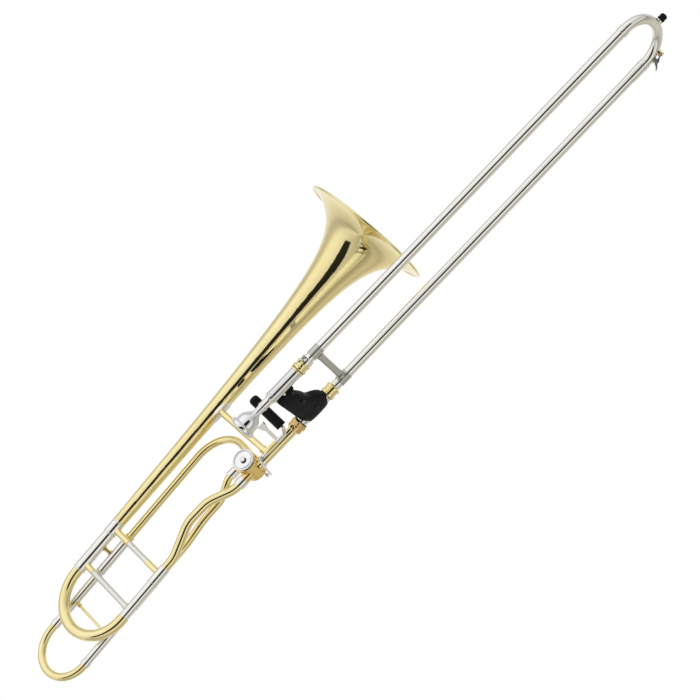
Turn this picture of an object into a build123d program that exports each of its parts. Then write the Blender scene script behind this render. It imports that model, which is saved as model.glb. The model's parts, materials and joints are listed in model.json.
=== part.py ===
from build123d import *
from math import cos, sin, radians, sqrt
import os

# Tenor trombone with a rotary F attachment, in millimetres.
# +X runs forward along the hand slide, +Y to the player's left, +Z up.
# The origin is the left-hand grip, midway between the two slide tubes.

# ---- Driving dimensions -------------------------------------------------------------------
SLIDE_SPACING = 81.0       # centre to centre of the two slide tubes
SLIDE_LEAN = 49.8          # slide plane from vertical, degrees
BELL_LEAN = 38.3           # bell section plane from vertical, degrees
BELL_RISE = 4.46           # bell axis diverges from the slide axis by this angle, degrees
MAIN_SPACING = 119.0       # centre to centre of the main tuning slide's legs
F_SPACING = 88.0           # centre to centre of the F tuning slide's legs
F_SETBACK = 18.0           # F tubing lies this far behind the main tubing
F_LEG_RISE = 12.5          # lower F leg above the lower main leg
WALL = 0.55                # tube wall
RUN = 0.08                 # running clearance of a sliding tube

SLIDE_END = 670.0          # the outer slide tubes end and the slide bow begins here
INNER_R = 6.95             # inner slide tubes
OUTER_R = 7.5              # outer slide tubes
BARREL_R = 8.8             # cork barrels
BARREL_BORE_R = 8.1
BARREL_FRONT = 25.0
BARREL_BACK = -28.7
NECK_R = 7.5               # gooseneck
MAIN_NECK_R = 6.75
F_TUBE_R = 5.75
BELL_R = 101.5             # bell mouth
BELL_LENGTH = 551.5
BELL_RIM_BEAD = 2.0

CASING_R = 17.5            # rotor valve
CASING_HALF = 17.0
ROTOR_R = 16.0
PORT_R = 5.0
PORT_OFFSET = 10.5
VALVE_X = -120.0
VALVE_RISE = 12.5

LEVER_ARM = 37.1           # hinge rod to the link's lower pivot, so 18 degrees turn the rotor 90
STOP_ARM = 8.0             # rotor axis to the link's upper pin, at either end of the turn

PARTS = "parts"
os.makedirs(PARTS, exist_ok=True)

# ---- Working planes -----------------------------------------------------------------------
forward = Vector(1, 0, 0)
slide_up = Vector(0, -sin(radians(SLIDE_LEAN)), cos(radians(SLIDE_LEAN)))
bell_up = Vector(0, sin(radians(BELL_LEAN)), cos(radians(BELL_LEAN)))


def moved(plane, x=0.0, y=0.0, z=0.0):
    """The same plane with its origin at a point given in its own coordinates."""
    return Plane(origin=plane.from_local_coords((x, y, z)), x_dir=plane.x_dir, z_dir=plane.z_dir)


slide_plane = Plane(origin=(0, 0, 0), x_dir=forward, z_dir=forward.cross(slide_up))
upper_axis = moved(slide_plane, y=SLIDE_SPACING / 2)
lower_axis = moved(slide_plane, y=-SLIDE_SPACING / 2)

loop_plane = Plane(origin=lower_axis.origin, x_dir=forward, z_dir=forward.cross(bell_up))
valve_plane = moved(loop_plane, VALVE_X, VALVE_RISE)

rise = radians(BELL_RISE)
bell_forward = forward * cos(rise) + bell_up * sin(rise)
bell_plane = Plane(
    origin=loop_plane.from_local_coords((-400, -13.4, 0)),
    x_dir=bell_forward,
    z_dir=loop_plane.z_dir,
)
main_lower = bell_plane
main_upper = moved(bell_plane, y=MAIN_SPACING)
f_plane = moved(bell_plane, y=F_LEG_RISE, z=-F_SETBACK)
f_lower = f_plane
f_upper = moved(f_plane, y=F_SPACING)


# ---- Shared profiles and operations -------------------------------------------------------
def save(piece, label):
    """Name a finished piece and write it."""
    piece.part.label = label
    export_step(piece.part, f"{PARTS}/{label}.step")


def section_plane(axis, at):
    """The plane across an axis plane's x direction."""
    return Plane(origin=axis.from_local_coords((at, 0, 0)), x_dir=axis.y_dir, z_dir=axis.x_dir)


def ring(plane, outer, inner=0.0):
    """A ring, or a disc when there is no inner radius."""
    with BuildSketch(plane) as profile:
        Circle(outer)
        if inner > 0:
            Circle(inner, mode=Mode.SUBTRACT)
    return profile.sketch


def pipe(axis, start, stop, outer, inner=0.0, mode=Mode.ADD):
    """A straight tube or rod along an axis plane's x direction."""
    extrude(ring(section_plane(axis, start), outer, inner), amount=stop - start, mode=mode)


def lathe(axis, outline, mode=Mode.ADD):
    """Turn a closed outline of (distance along the axis, radius) points about the axis."""
    with BuildSketch(axis) as profile:
        with BuildLine():
            Polyline(*outline, close=True)
        make_face()
    revolve(profile.sketch, axis=Axis(axis.origin, axis.x_dir), mode=mode)


def bent(points, bend_radii, outer, inner=0.0, plane=Plane.XY, mode=Mode.ADD):
    """A tube along straight runs joined by tangent arcs."""
    with BuildLine(plane) as route:
        FilletPolyline(*points, radius=bend_radii)
    path = route.wire()
    start = Plane(origin=path @ 0, z_dir=path % 0)
    sweep(ring(start, outer, inner), path=path, mode=mode)


def u_bow(plane, spacing, centre, side, leg, outer, inner=0.0, mode=Mode.ADD):
    """A half-circle bow from y = 0 to y = spacing, bulging to the side +1 or -1.

    Its end at y = spacing goes on straight for a length of leg.
    """
    with BuildLine(plane) as route:
        ThreePointArc((centre, 0), (centre + side * spacing / 2, spacing / 2), (centre, spacing))
        if leg > 0:
            Line((centre, spacing), (centre - side * leg, spacing))
    path = route.wire()
    start = Plane(origin=path @ 0, z_dir=path % 0)
    sweep(ring(start, outer, inner), path=path, mode=mode)


def slide_bow_solid(mode=Mode.SUBTRACT):
    """The space that the slide bow's tube takes."""
    u_bow(lower_axis, SLIDE_SPACING, SLIDE_END, 1, 0.0, OUTER_R, mode=mode)


def cross_rod(plane, at, start, stop, radius, mode=Mode.ADD, depth=0.0):
    """A rod along a plane's y direction."""
    foot = Plane(
        origin=plane.from_local_coords((at, start, depth)),
        x_dir=plane.x_dir,
        z_dir=plane.y_dir,
    )
    extrude(ring(foot, radius), amount=stop - start, mode=mode)


# ---- Inner slide --------------------------------------------------------------------------
RECEIVER_MOUTH = -46.0
SHANK_TIP = -14.0
INNER_END = 655.0
MOUTHPIECE_BACK = -88.5

with BuildPart() as mouthpiece:
    with BuildSketch(upper_axis):
        with BuildLine():
            # Rim, cup bulb and throat outside, then the shank.
            Polyline((SHANK_TIP, 4.7), (SHANK_TIP, 5.4), (RECEIVER_MOUTH, 6.0), (-52.0, 5.5))
            Spline((-52.0, 5.5), (-56.0, 5.4), (-62.0, 9.2), (-68.5, 14.2), (-75.0, 15.6), (-79.0, 15.6))
            Polyline((-79.0, 15.6), (-79.8, 16.4))
            Spline((-79.8, 16.4), (-81.5, 18.6), (-85.0, 19.0), (-88.0, 16.8), (MOUTHPIECE_BACK, 15.0))
            Spline((MOUTHPIECE_BACK, 15.0), (-87.9, 13.2), (-85.5, 12.6))
            Spline((-85.5, 12.6), (-79.0, 11.6), (-71.0, 7.6), (-66.0, 3.6), (-63.5, 3.3))
            Polyline((-63.5, 3.3), (SHANK_TIP, 4.7))
        make_face()
    revolve(axis=Axis(upper_axis.origin, upper_axis.x_dir))
save(mouthpiece, "mouthpiece")

with BuildPart() as mouthpiece_receiver:
    lathe(upper_axis, [
        (RECEIVER_MOUTH, 6.02), (RECEIVER_MOUTH, 7.1), (-43.5, 7.1), (-43.0, 6.5), (-32.0, 6.7),
        (-29.0, BARREL_BORE_R), (-10.0, BARREL_BORE_R), (-10.0, 5.6), (-13.5, 5.42),
    ])
save(mouthpiece_receiver, "mouthpiece_receiver")

with BuildPart() as cork_barrels:
    lathe(upper_axis, [
        (-29.0, BARREL_BORE_R), (-29.0, BARREL_R), (-27.0, 9.3), (-25.0, 9.3), (-24.5, BARREL_R),
        (22.0, BARREL_R), (22.5, 9.4), (BARREL_FRONT, 9.4), (BARREL_FRONT, BARREL_BORE_R),
    ])
    pipe(lower_axis, BARREL_BACK, BARREL_FRONT, BARREL_R, BARREL_BORE_R)
save(cork_barrels, "cork_barrels")

with BuildPart() as slide_corks:
    for axis in (upper_axis, lower_axis):
        pipe(axis, 17.0, BARREL_FRONT - 0.5, BARREL_BORE_R, INNER_R)
save(slide_corks, "slide_corks")

with BuildPart() as inner_slide_tubes:
    pipe(upper_axis, -10.0, INNER_END, INNER_R, INNER_R - WALL)
    pipe(lower_axis, -25.0, INNER_END, INNER_R, INNER_R - WALL)
save(inner_slide_tubes, "inner_slide_tubes")

with BuildPart() as slide_tenon:
    lathe(lower_axis, [
        (-55.0, 5.9), (-55.0, 6.5), (-31.0, 7.0), (-31.0, 9.3), (-28.8, 9.3), (-28.8, BARREL_BORE_R),
        (-25.0, BARREL_BORE_R), (-25.0, 5.9),
    ])
save(slide_tenon, "slide_tenon")

BRACE_X = -12.0
INNER_BRACE_R = 4.5

with BuildPart() as inner_brace:
    cross_rod(slide_plane, BRACE_X, -SLIDE_SPACING / 2, SLIDE_SPACING / 2, INNER_BRACE_R)
    for axis in (upper_axis, lower_axis):
        pipe(axis, BRACE_X - 10, BRACE_X + 10, BARREL_R, mode=Mode.SUBTRACT)
save(inner_brace, "inner_brace")

# The left-hand grip wraps the lower barrel and rises along the inner brace.
GRIP_HALF = 10.5
GRIP_R = 11.0
GRIP_BACK = -25.6
GRIP_FRONT = 24.0

with BuildPart() as hand_grip:
    with BuildSketch(slide_plane.offset(-GRIP_HALF)):
        with BuildLine():
            FilletPolyline(
                (-27.0, 27.5), (-21.5, -30.0), (-16.0, -51.0), (14.0, -51.0), (24.0, -37.0),
                (20.0, -22.0), (7.0, -14.0), (-1.0, 9.0), (-3.0, 27.5),
                radius=4.0, close=True,
            )
        make_face()
    extrude(amount=2 * GRIP_HALF)
    pipe(lower_axis, GRIP_BACK, GRIP_FRONT - 1.5, GRIP_R)
    pipe(lower_axis, -40.0, 40.0, BARREL_R, mode=Mode.SUBTRACT)
    cross_rod(slide_plane, BRACE_X, -SLIDE_SPACING / 2, SLIDE_SPACING / 2, INNER_BRACE_R,
              mode=Mode.SUBTRACT)
save(hand_grip, "hand_grip")

SCREW_PLACES = ((-2.0, -0.8), (4.2, -31.0))

with BuildPart() as grip_screws:
    with BuildSketch(slide_plane.offset(GRIP_HALF)):
        with Locations(*SCREW_PLACES):
            Circle(3.0)
    extrude(amount=1.6)
    with BuildSketch(slide_plane.offset(GRIP_HALF + 1.6)):
        with Locations(*SCREW_PLACES):
            RegularPolygon(radius=1.5, side_count=6)
    extrude(amount=-1.1, mode=Mode.SUBTRACT)
save(grip_screws, "grip_screws")

# ---- Hand slide ---------------------------------------------------------------------------
RING_BACK = 26.0

with BuildPart() as outer_slide_tubes:
    for axis in (upper_axis, lower_axis):
        pipe(axis, RING_BACK, SLIDE_END, OUTER_R, INNER_R + RUN)
save(outer_slide_tubes, "outer_slide_tubes")

with BuildPart() as bow_ferrules:
    for axis in (upper_axis, lower_axis):
        lathe(axis, [
            (662.0, OUTER_R), (662.0, 8.2), (663.0, 8.7), (664.5, 8.7), (665.0, 8.2),
            (SLIDE_END - 1.5, 8.2), (SLIDE_END - 1.0, 8.7), (SLIDE_END, 8.7), (SLIDE_END, OUTER_R),
        ])
    pipe(lower_axis, 640.0, 661.9, 8.1, OUTER_R)
save(bow_ferrules, "bow_ferrules")

with BuildPart() as slide_end_rings:
    lathe(upper_axis, [
        (RING_BACK, OUTER_R), (RING_BACK, 10.2), (27.0, 10.8), (29.5, 10.8), (30.5, 9.6),
        (33.0, 9.2), (35.0, 9.8), (36.0, 10.6), (38.0, 10.6), (38.0, OUTER_R),
    ])
    lathe(lower_axis, [
        (RING_BACK, OUTER_R), (RING_BACK, 10.4), (27.0, 11.0), (31.0, 11.0), (32.0, 9.8),
        (36.0, 9.8), (37.0, 10.8), (41.0, 10.8), (42.0, 9.0), (43.0, OUTER_R),
    ])
save(slide_end_rings, "slide_end_rings")

LOCK_BACK = 38.4
LOCK_FRONT = 47.0
LOCK_KNOB_X = 40.7

with BuildPart() as slide_lock_ring:
    lathe(upper_axis, [
        (LOCK_BACK, OUTER_R + RUN), (LOCK_BACK, 9.0), (39.2, 9.8), (42.2, 9.8), (43.0, 9.0),
        (45.0, 9.0), (46.0, 9.4), (LOCK_FRONT, 9.0), (LOCK_FRONT, OUTER_R + RUN),
    ])
    cross_rod(upper_axis, LOCK_KNOB_X, OUTER_R + 1.0, OUTER_R + 5.6, 1.3)
save(slide_lock_ring, "slide_lock_ring")

OUTER_BRACE_X = 60.0
OUTER_SLEEVE_R = 8.0
OUTER_BRACE_R = 5.2

with BuildPart() as outer_brace:
    cross_rod(slide_plane, OUTER_BRACE_X, -SLIDE_SPACING / 2, SLIDE_SPACING / 2, OUTER_BRACE_R)
    for side in (-1, 1):
        tip = side * (SLIDE_SPACING / 2 - OUTER_SLEEVE_R + 1.0)
        root = side * (SLIDE_SPACING / 2 - OUTER_SLEEVE_R - 5.0)
        cross_rod(slide_plane, OUTER_BRACE_X, root, tip, OUTER_BRACE_R + 1.0)
    for axis in (upper_axis, lower_axis):
        pipe(axis, OUTER_BRACE_X - 9, OUTER_BRACE_X + 9, OUTER_SLEEVE_R)
    for axis in (upper_axis, lower_axis):
        pipe(axis, 40.0, 80.0, OUTER_R, mode=Mode.SUBTRACT)
save(outer_brace, "outer_brace")

with BuildPart() as slide_bow:
    u_bow(lower_axis, SLIDE_SPACING, SLIDE_END, 1, 0.0, OUTER_R, INNER_R + RUN)
save(slide_bow, "slide_bow")

BOW_TIP = SLIDE_END + SLIDE_SPACING / 2 + OUTER_R

with BuildPart() as bumper_mount:
    lathe(slide_plane, [
        (BOW_TIP - 5, 0), (BOW_TIP - 5, 5.2), (BOW_TIP + 0.5, 5.2), (BOW_TIP + 2.0, 4.4),
        (BOW_TIP + 2.0, 0),
    ])
    slide_bow_solid()
save(bumper_mount, "bumper_mount")

BUMPER_BACK = BOW_TIP + 2.0
BUMPER_END = 730.0

with BuildPart() as rubber_bumper:
    lathe(slide_plane, [
        (BUMPER_BACK, 0), (BUMPER_BACK, 4.8), (721.2, 5.5), (723.6, 5.5), (724.8, 4.7),
        (726.0, 5.3), (728.2, 5.3), (BUMPER_END, 3.8), (BUMPER_END, 0),
    ])
save(rubber_bumper, "rubber_bumper")

# Water key: hangs below the start of the bow's lower leg, and opens downward.
KEY_PIVOT_X = 681.0
KEY_DROP = 12.0
NIPPLE_X = 692.5


def bow_point(x):
    """The point of the slide bow's centre line, on its lower half, at a given x."""
    across = sqrt((SLIDE_SPACING / 2) ** 2 - (x - SLIDE_END) ** 2)
    return slide_plane.from_local_coords((x, -across, 0))


key_root = bow_point(KEY_PIVOT_X)
nipple_root = bow_point(NIPPLE_X)
KEY_Y = (key_root.Y + nipple_root.Y) / 2
KEY_Z = key_root.Z - KEY_DROP
NIPPLE_BOTTOM = nipple_root.Z - OUTER_R - 3.2
nipple_plane = Plane(origin=(NIPPLE_X, nipple_root.Y, NIPPLE_BOTTOM), x_dir=(1, 0, 0), z_dir=(0, 0, 1))
key_plane = Plane(origin=(KEY_PIVOT_X, KEY_Y, KEY_Z), x_dir=(1, 0, 0), z_dir=(0, -1, 0))

with BuildPart() as water_key_nipple:
    with BuildSketch(nipple_plane):
        Circle(3.8)
    extrude(amount=1.4)
    with BuildSketch(nipple_plane.offset(1.4)):
        Circle(4.6)
    extrude(amount=OUTER_R)
    slide_bow_solid()
    with BuildSketch(nipple_plane):
        Circle(2.0)
    extrude(amount=12, mode=Mode.SUBTRACT)
save(water_key_nipple, "water_key_nipple")

PIN_R = 1.1
EAR_OUT = 5.4
EAR_IN = 3.6

with BuildPart() as water_key_saddle:
    for side in (-1, 1):
        with BuildSketch(key_plane.offset(side * EAR_IN)):
            with BuildLine():
                Polyline(
                    (-3.2, 7.4), (-2.4, 0.0), (-1.4, -2.2), (1.4, -2.2), (2.4, 0.0), (3.2, 7.4),
                    close=True,
                )
            make_face()
        extrude(amount=side * (EAR_OUT - EAR_IN))
    slide_bow_solid()
    with BuildSketch(key_plane.offset(-EAR_OUT - 0.4)):
        Circle(PIN_R)
    extrude(amount=2 * EAR_OUT + 0.8)
save(water_key_saddle, "water_key_saddle")

CORK_TOP = NIPPLE_BOTTOM - KEY_Z
CORK_THICK = 2.2

with BuildPart() as water_key_lever:
    with BuildSketch(key_plane.offset(-3.2)):
        with BuildLine():
            Polyline(
                (-2.4, 2.2), (2.4, 2.2), (7.5, CORK_TOP - CORK_THICK), (16.0, CORK_TOP - CORK_THICK),
                (16.0, CORK_TOP - CORK_THICK - 1.4), (7.0, CORK_TOP - CORK_THICK - 1.8),
                (2.4, -2.2), (-1.5, -2.6), (-6.5, -7.2), (-9.0, -8.0), (-9.4, -6.8), (-7.0, -5.6),
                close=True,
            )
        make_face()
    extrude(amount=6.4)
    with BuildSketch(key_plane.offset(-10)):
        Circle(PIN_R + 0.06)
    extrude(amount=20, mode=Mode.SUBTRACT)
    with BuildSketch(key_plane.offset(-1.8)):
        Rectangle(5.2, 8.0)
    extrude(amount=3.6, mode=Mode.SUBTRACT)
    with BuildSketch(nipple_plane.offset(-CORK_THICK - 1.6)):
        Circle(4.4)
    extrude(amount=1.6)
save(water_key_lever, "water_key_lever")

with BuildPart() as water_key_cork:
    with BuildSketch(nipple_plane.offset(-CORK_THICK)):
        Circle(3.9)
    extrude(amount=CORK_THICK - 0.02)
save(water_key_cork, "water_key_cork")

with BuildPart() as water_key_spring:
    for turn in range(3):
        with BuildSketch(key_plane.offset(-1.65 + 1.15 * turn)):
            Circle(2.1)
            Circle(PIN_R + 0.05, mode=Mode.SUBTRACT)
        extrude(amount=1.0)
save(water_key_spring, "water_key_spring")

# ---- Slide receiver and gooseneck ---------------------------------------------------------
THREAD_R = 9.4

with BuildPart() as slide_receiver:
    lathe(lower_axis, [
        (-56.0, 6.5), (-56.0, NECK_R), (-43.5, NECK_R), (-42.0, THREAD_R), (-31.2, THREAD_R),
        (-31.2, 7.0), (-55.0, 6.5),
    ])
save(slide_receiver, "slide_receiver")

with BuildPart() as receiver_nut:
    lathe(lower_axis, [
        (-41.0, THREAD_R + RUN), (-41.0, 10.6), (-38.0, 11.6), (-36.5, 11.0), (-34.5, 11.0),
        (-33.0, 12.0), (-29.0, 12.0), (-27.0, 10.8), (-27.0, BARREL_R + RUN),
        (-28.6, BARREL_R + RUN), (-28.6, THREAD_R + RUN),
    ])
    with BuildSketch(section_plane(lower_axis, -34.5)):
        with PolarLocations(12.8, 24):
            Circle(1.15)
    extrude(amount=8, mode=Mode.SUBTRACT)
save(receiver_nut, "receiver_nut")

with BuildPart() as gooseneck:
    pipe(lower_axis, -112.0, -56.0, NECK_R, NECK_R - 1.0)
    with BuildSketch(valve_plane.offset(-CASING_HALF)):
        Circle(CASING_R)
    extrude(amount=2 * CASING_HALF, mode=Mode.SUBTRACT)
save(gooseneck, "gooseneck")

# ---- Rotor valve --------------------------------------------------------------------------
SPINDLE_R = 4.0
NOSE_R = 2.6
PLATE_THICK = 3.0
CORE_FAR = -13.8
CORE_NEAR = 11.8
main_port = moved(loop_plane, y=1.5)
f_port = moved(loop_plane, y=23.5)
STUB_BACK = -139.0


def passages(mode):
    """The two straight air ways through the rotor, in the open position."""
    for side in (-1, 1):
        way = Plane(
            origin=valve_plane.from_local_coords((-30, side * PORT_OFFSET, 0)),
            x_dir=valve_plane.y_dir,
            z_dir=valve_plane.x_dir,
        )
        extrude(ring(way, PORT_R), amount=60, mode=mode)


def valve_disc(start, stop, outer, inner=0.0, mode=Mode.ADD):
    """A disc or ring on the rotor's axis."""
    extrude(ring(valve_plane.offset(start), outer, inner), amount=stop - start, mode=mode)


with BuildPart() as rotor_casing:
    valve_disc(-CASING_HALF, CASING_HALF, CASING_R)
    for axis, radius in ((main_port, MAIN_NECK_R + 0.7), (f_port, F_TUBE_R + 0.9)):
        pipe(axis, STUB_BACK, -125.0, radius)
    valve_disc(CORE_FAR - 0.2, CASING_HALF, ROTOR_R + 0.05, mode=Mode.SUBTRACT)
    valve_disc(-CASING_HALF, 0, SPINDLE_R + 0.05, mode=Mode.SUBTRACT)
    passages(Mode.SUBTRACT)
    crook_bore = Plane(
        origin=valve_plane.from_local_coords((PORT_OFFSET, 5.0, 0)),
        x_dir=valve_plane.x_dir,
        z_dir=valve_plane.y_dir,
    )
    extrude(ring(crook_bore, PORT_R), amount=20, mode=Mode.SUBTRACT)
save(rotor_casing, "rotor_casing")

with BuildPart() as rotor_core:
    valve_disc(CORE_FAR, CORE_NEAR, ROTOR_R)
    valve_disc(CORE_NEAR, CORE_NEAR + 2.4, SPINDLE_R)
    valve_disc(-CASING_HALF - 0.6, CORE_FAR, SPINDLE_R)
    valve_disc(-22.0, -CASING_HALF - 0.6, NOSE_R)
    passages(Mode.SUBTRACT)
save(rotor_core, "rotor_core")

with BuildPart() as bearing_plate:
    valve_disc(12.0, 12.0 + PLATE_THICK, ROTOR_R + 0.05)
    valve_disc(12.0, 12.0 + PLATE_THICK, SPINDLE_R + 0.05, mode=Mode.SUBTRACT)
save(bearing_plate, "bearing_plate")

CAP_RIM = 16.6

with BuildPart() as valve_cap:
    valve_disc(15.0, CASING_HALF, ROTOR_R + 0.05, ROTOR_R - 1.5)
    valve_disc(CASING_HALF, CASING_HALF + 3.0, CAP_RIM)
    valve_disc(CASING_HALF + 1.8, CASING_HALF + 3.0, CAP_RIM - 2.4, 7.0, mode=Mode.SUBTRACT)
    fillet(valve_cap.edges().filter_by(GeomType.CIRCLE).group_by(SortBy.RADIUS)[-1]
           .sort_by(Axis(valve_plane.origin, valve_plane.z_dir))[-1], radius=0.8)
    valve_disc(CASING_HALF + 1.6, CASING_HALF + 3.0, 3.4, mode=Mode.SUBTRACT)
save(valve_cap, "valve_cap")

with BuildPart() as cap_screw:
    valve_disc(CASING_HALF + 1.6, CASING_HALF + 3.8, 3.2)
    with BuildSketch(valve_plane.offset(CASING_HALF + 3.8)):
        Rectangle(7.0, 0.9)
    extrude(amount=-1.0, mode=Mode.SUBTRACT)
save(cap_screw, "cap_screw")

# Far side: a back plate carries two cork bumpers, and the stop arm turns between them.
STOP_FAR = -21.7
STOP_NEAR = -19.4
arm_plane = valve_plane.offset(STOP_FAR)
REST_ANGLE = -45.0
TAB_ANGLE = REST_ANGLE + 180
BUMPER_REACH = 10.5
BUMPER_R = 2.5
BUMPER_SHIFT = 33.0
STOP_HUB_R = 4.3
SLOT_HALF = 2.4
BACK_PLATE_R = 16.3
BUMPER_POST_R = 1.2

bumper_places = [
    (
        BUMPER_REACH * cos(radians(TAB_ANGLE + turn)),
        BUMPER_REACH * sin(radians(TAB_ANGLE + turn)),
    )
    for turn in (-BUMPER_SHIFT, 90 + BUMPER_SHIFT)
]

with BuildPart() as back_plate:
    valve_disc(-CASING_HALF - 1.6, -CASING_HALF, BACK_PLATE_R, SPINDLE_R + 0.3)
    with BuildSketch(valve_plane.offset(-CASING_HALF - 1.6)):
        with Locations(*bumper_places):
            Circle(BUMPER_POST_R)
    extrude(amount=-4.4)
save(back_plate, "back_plate")

with BuildPart() as stop_corks:
    with BuildSketch(valve_plane.offset(-CASING_HALF - 1.8)):
        with Locations(*bumper_places):
            Circle(BUMPER_R)
            Circle(BUMPER_POST_R, mode=Mode.SUBTRACT)
    extrude(amount=-3.8)
save(stop_corks, "stop_corks")

with BuildPart() as stop_arm:
    with BuildSketch(arm_plane):
        Circle(STOP_HUB_R)
        with Locations(Location((0, 0, 0), (0, 0, REST_ANGLE))):
            with Locations((6.4, 0)):
                SlotOverall(12.8, 8.2)
            with Locations((-6.5, 0)):
                Rectangle(13.0, 5.6)
        Circle(NOSE_R, mode=Mode.SUBTRACT)
        with Locations(Location((0, 0, 0), (0, 0, REST_ANGLE))):
            with Locations((7.4, 0)):
                SlotOverall(7.4, 2 * SLOT_HALF, mode=Mode.SUBTRACT)
    extrude(amount=STOP_NEAR - STOP_FAR)
save(stop_arm, "stop_arm")

with BuildPart() as stop_arm_screw:
    valve_disc(-24.0, -22.0, 3.2)
    with BuildSketch(valve_plane.offset(-24.0)):
        Rectangle(8.0, 0.9)
    extrude(amount=1.0, mode=Mode.SUBTRACT)
save(stop_arm_screw, "stop_arm_screw")

# ---- Thumb lever and link -----------------------------------------------------------------
HINGE_RISE = -4.1
HINGE_NEAR = 12.1
LEVER_START = 1.4          # the arm to the link rests this far past level, degrees
ROD_R = 1.8
BARREL_IN = ROD_R + 0.06
HINGE_BARREL_R = 3.9
BARREL_X = (-89.0, -69.5)
ROD_X = (-105.5, -56.0)
PIN_OFFSET = STOP_ARM * sin(radians(45))
LINK_X = VALVE_X + PIN_OFFSET

hinge_axis = moved(loop_plane, y=HINGE_RISE, z=HINGE_NEAR)
LINK_LOW = (
    LINK_X,
    HINGE_RISE + LEVER_ARM * sin(radians(LEVER_START)),
    HINGE_NEAR - LEVER_ARM * cos(radians(LEVER_START)),
)
LINK_HIGH = (LINK_X, VALVE_RISE - PIN_OFFSET, LINK_LOW[2] + 1.05)
LINK_PIN_R = 1.5
LINK_EYE_R = 2.7
LINK_EYE_HALF = 1.4
REAR_ARM_X = LINK_X + 5.5
REAR_ARM_R = 1.5
link_pin_axis = moved(loop_plane, 0, LINK_LOW[1], LINK_LOW[2])
link_start = loop_plane.from_local_coords(LINK_LOW)
link_stop = loop_plane.from_local_coords(LINK_HIGH)
link_length = (link_stop - link_start).length
link_along = (link_stop - link_start).normalized()
link_foot = Plane(origin=link_start, x_dir=forward, z_dir=link_along)
link_head = Plane(origin=link_stop, x_dir=forward, z_dir=forward.cross(link_along))

with BuildPart() as lever_hinge_barrel:
    lathe(hinge_axis, [
        (BARREL_X[0], BARREL_IN), (BARREL_X[0], HINGE_BARREL_R), (BARREL_X[1], HINGE_BARREL_R),
        (BARREL_X[1], BARREL_IN),
    ])
    with BuildSketch(moved(loop_plane, x=-79.2)):
        Rectangle(16.0, 6.0)
    extrude(amount=HINGE_NEAR)
    pipe(lower_axis, -100.0, -60.0, NECK_R, mode=Mode.SUBTRACT)
    pipe(hinge_axis, -100.0, -60.0, BARREL_IN, mode=Mode.SUBTRACT)
save(lever_hinge_barrel, "lever_hinge_barrel")

THUMB_X = -48.2
THUMB_R = 7.5
THUMB_ARM_R = 2.6
THUMB_ARM_TOP = 38.0
THUMB_LOW = -11.0
THUMB_HIGH = 46.5
THUMB_Y = 12.0
hinge_origin = hinge_axis.origin
PADDLE_X = -66.5
PADDLE_TURN = radians(20.0)
paddle_plane = Plane(
    origin=(PADDLE_X, hinge_origin.Y, hinge_origin.Z),
    x_dir=(cos(PADDLE_TURN), sin(PADDLE_TURN), 0),
    z_dir=(sin(PADDLE_TURN), -cos(PADDLE_TURN), 0),
)

with BuildPart() as lever_rod:
    pipe(hinge_axis, ROD_X[0], -59.0, ROD_R)
    # The thumb arm curls up from the front of the rod into the sleeve.
    bent(
        [(-61.0, hinge_origin.Y, hinge_origin.Z), (-54.0, hinge_origin.Y, hinge_origin.Z),
         (THUMB_X, THUMB_Y, -14.0), (THUMB_X, THUMB_Y, THUMB_ARM_TOP)],
        [2.5, 3.0], THUMB_ARM_R,
    )
    pipe(hinge_axis, -68.6, -58.0, 3.1)
    pipe(hinge_axis, -97.0, -89.8, 2.6)
    # The rear arm dips under the gooseneck to the link's lower pivot pin.
    bent(
        [(-104.0, HINGE_RISE, HINGE_NEAR), (-105.0, -11.0, 11.0), (-107.0, -16.0, 2.0),
         (REAR_ARM_X, -12.0, -19.5), (REAR_ARM_X, LINK_LOW[1], LINK_LOW[2])],
        [3.0, 6.0, 4.0], REAR_ARM_R, plane=loop_plane,
    )
    pipe(link_pin_axis, REAR_ARM_X - 1.5, REAR_ARM_X + 1.5, 2.5)
    pipe(link_pin_axis, LINK_X - LINK_EYE_HALF - 0.4, REAR_ARM_X, LINK_PIN_R)
    # The flat thumb paddle stands on the rod just ahead of the hinge barrel.
    with BuildSketch(paddle_plane):
        with BuildLine():
            Polyline(
                (-2.6, 0.0), (2.6, 0.0), (2.6, 22.0), (5.5, 33.5), (-8.5, 33.5), (-2.6, 22.0),
                close=True,
            )
        make_face()
    extrude(amount=0.9, both=True)
save(lever_rod, "lever_rod")

with BuildPart() as thumb_sleeve:
    with BuildSketch(Plane(origin=(THUMB_X, THUMB_Y, THUMB_LOW))):
        Circle(THUMB_R)
    extrude(amount=THUMB_HIGH - THUMB_LOW)
    fillet(thumb_sleeve.edges().group_by(Axis.Z)[-1], radius=5.5)
    fillet(thumb_sleeve.edges().group_by(Axis.Z)[0], radius=0.8)
    with BuildSketch(Plane(origin=(THUMB_X, THUMB_Y, THUMB_LOW))):
        Circle(THUMB_ARM_R)
    extrude(amount=THUMB_ARM_TOP - THUMB_LOW, mode=Mode.SUBTRACT)
save(thumb_sleeve, "thumb_sleeve")

with BuildPart() as link_rod:
    pipe(link_pin_axis, LINK_X - LINK_EYE_HALF, LINK_X + LINK_EYE_HALF, LINK_EYE_R)
    extrude(ring(link_foot, 1.3), amount=link_length)
    with Locations(Location(link_foot.from_local_coords((0, 0, link_length)))):
        Sphere(1.9)
    extrude(ring(link_head, 1.5), amount=4.4)
    pipe(link_pin_axis, LINK_X - 5, LINK_X + 5, LINK_PIN_R + 0.06, mode=Mode.SUBTRACT)
save(link_rod, "link_rod")

with BuildPart() as lever_spring:
    pipe(hinge_axis, -101.5, -97.4, 3.0, ROD_R + 0.15)
save(lever_spring, "lever_spring")

# ---- Necks and F crook --------------------------------------------------------------------
PORT_FERRULE = (-151.0, STUB_BACK)
RECEIVER_FRONT = 96.0      # front end of the lower main receiver, along the bell plane
RECEIVER_STEP = 92.0
F_RECEIVER_STEP = 76.0
F_RECEIVER_FRONT = 80.0


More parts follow.
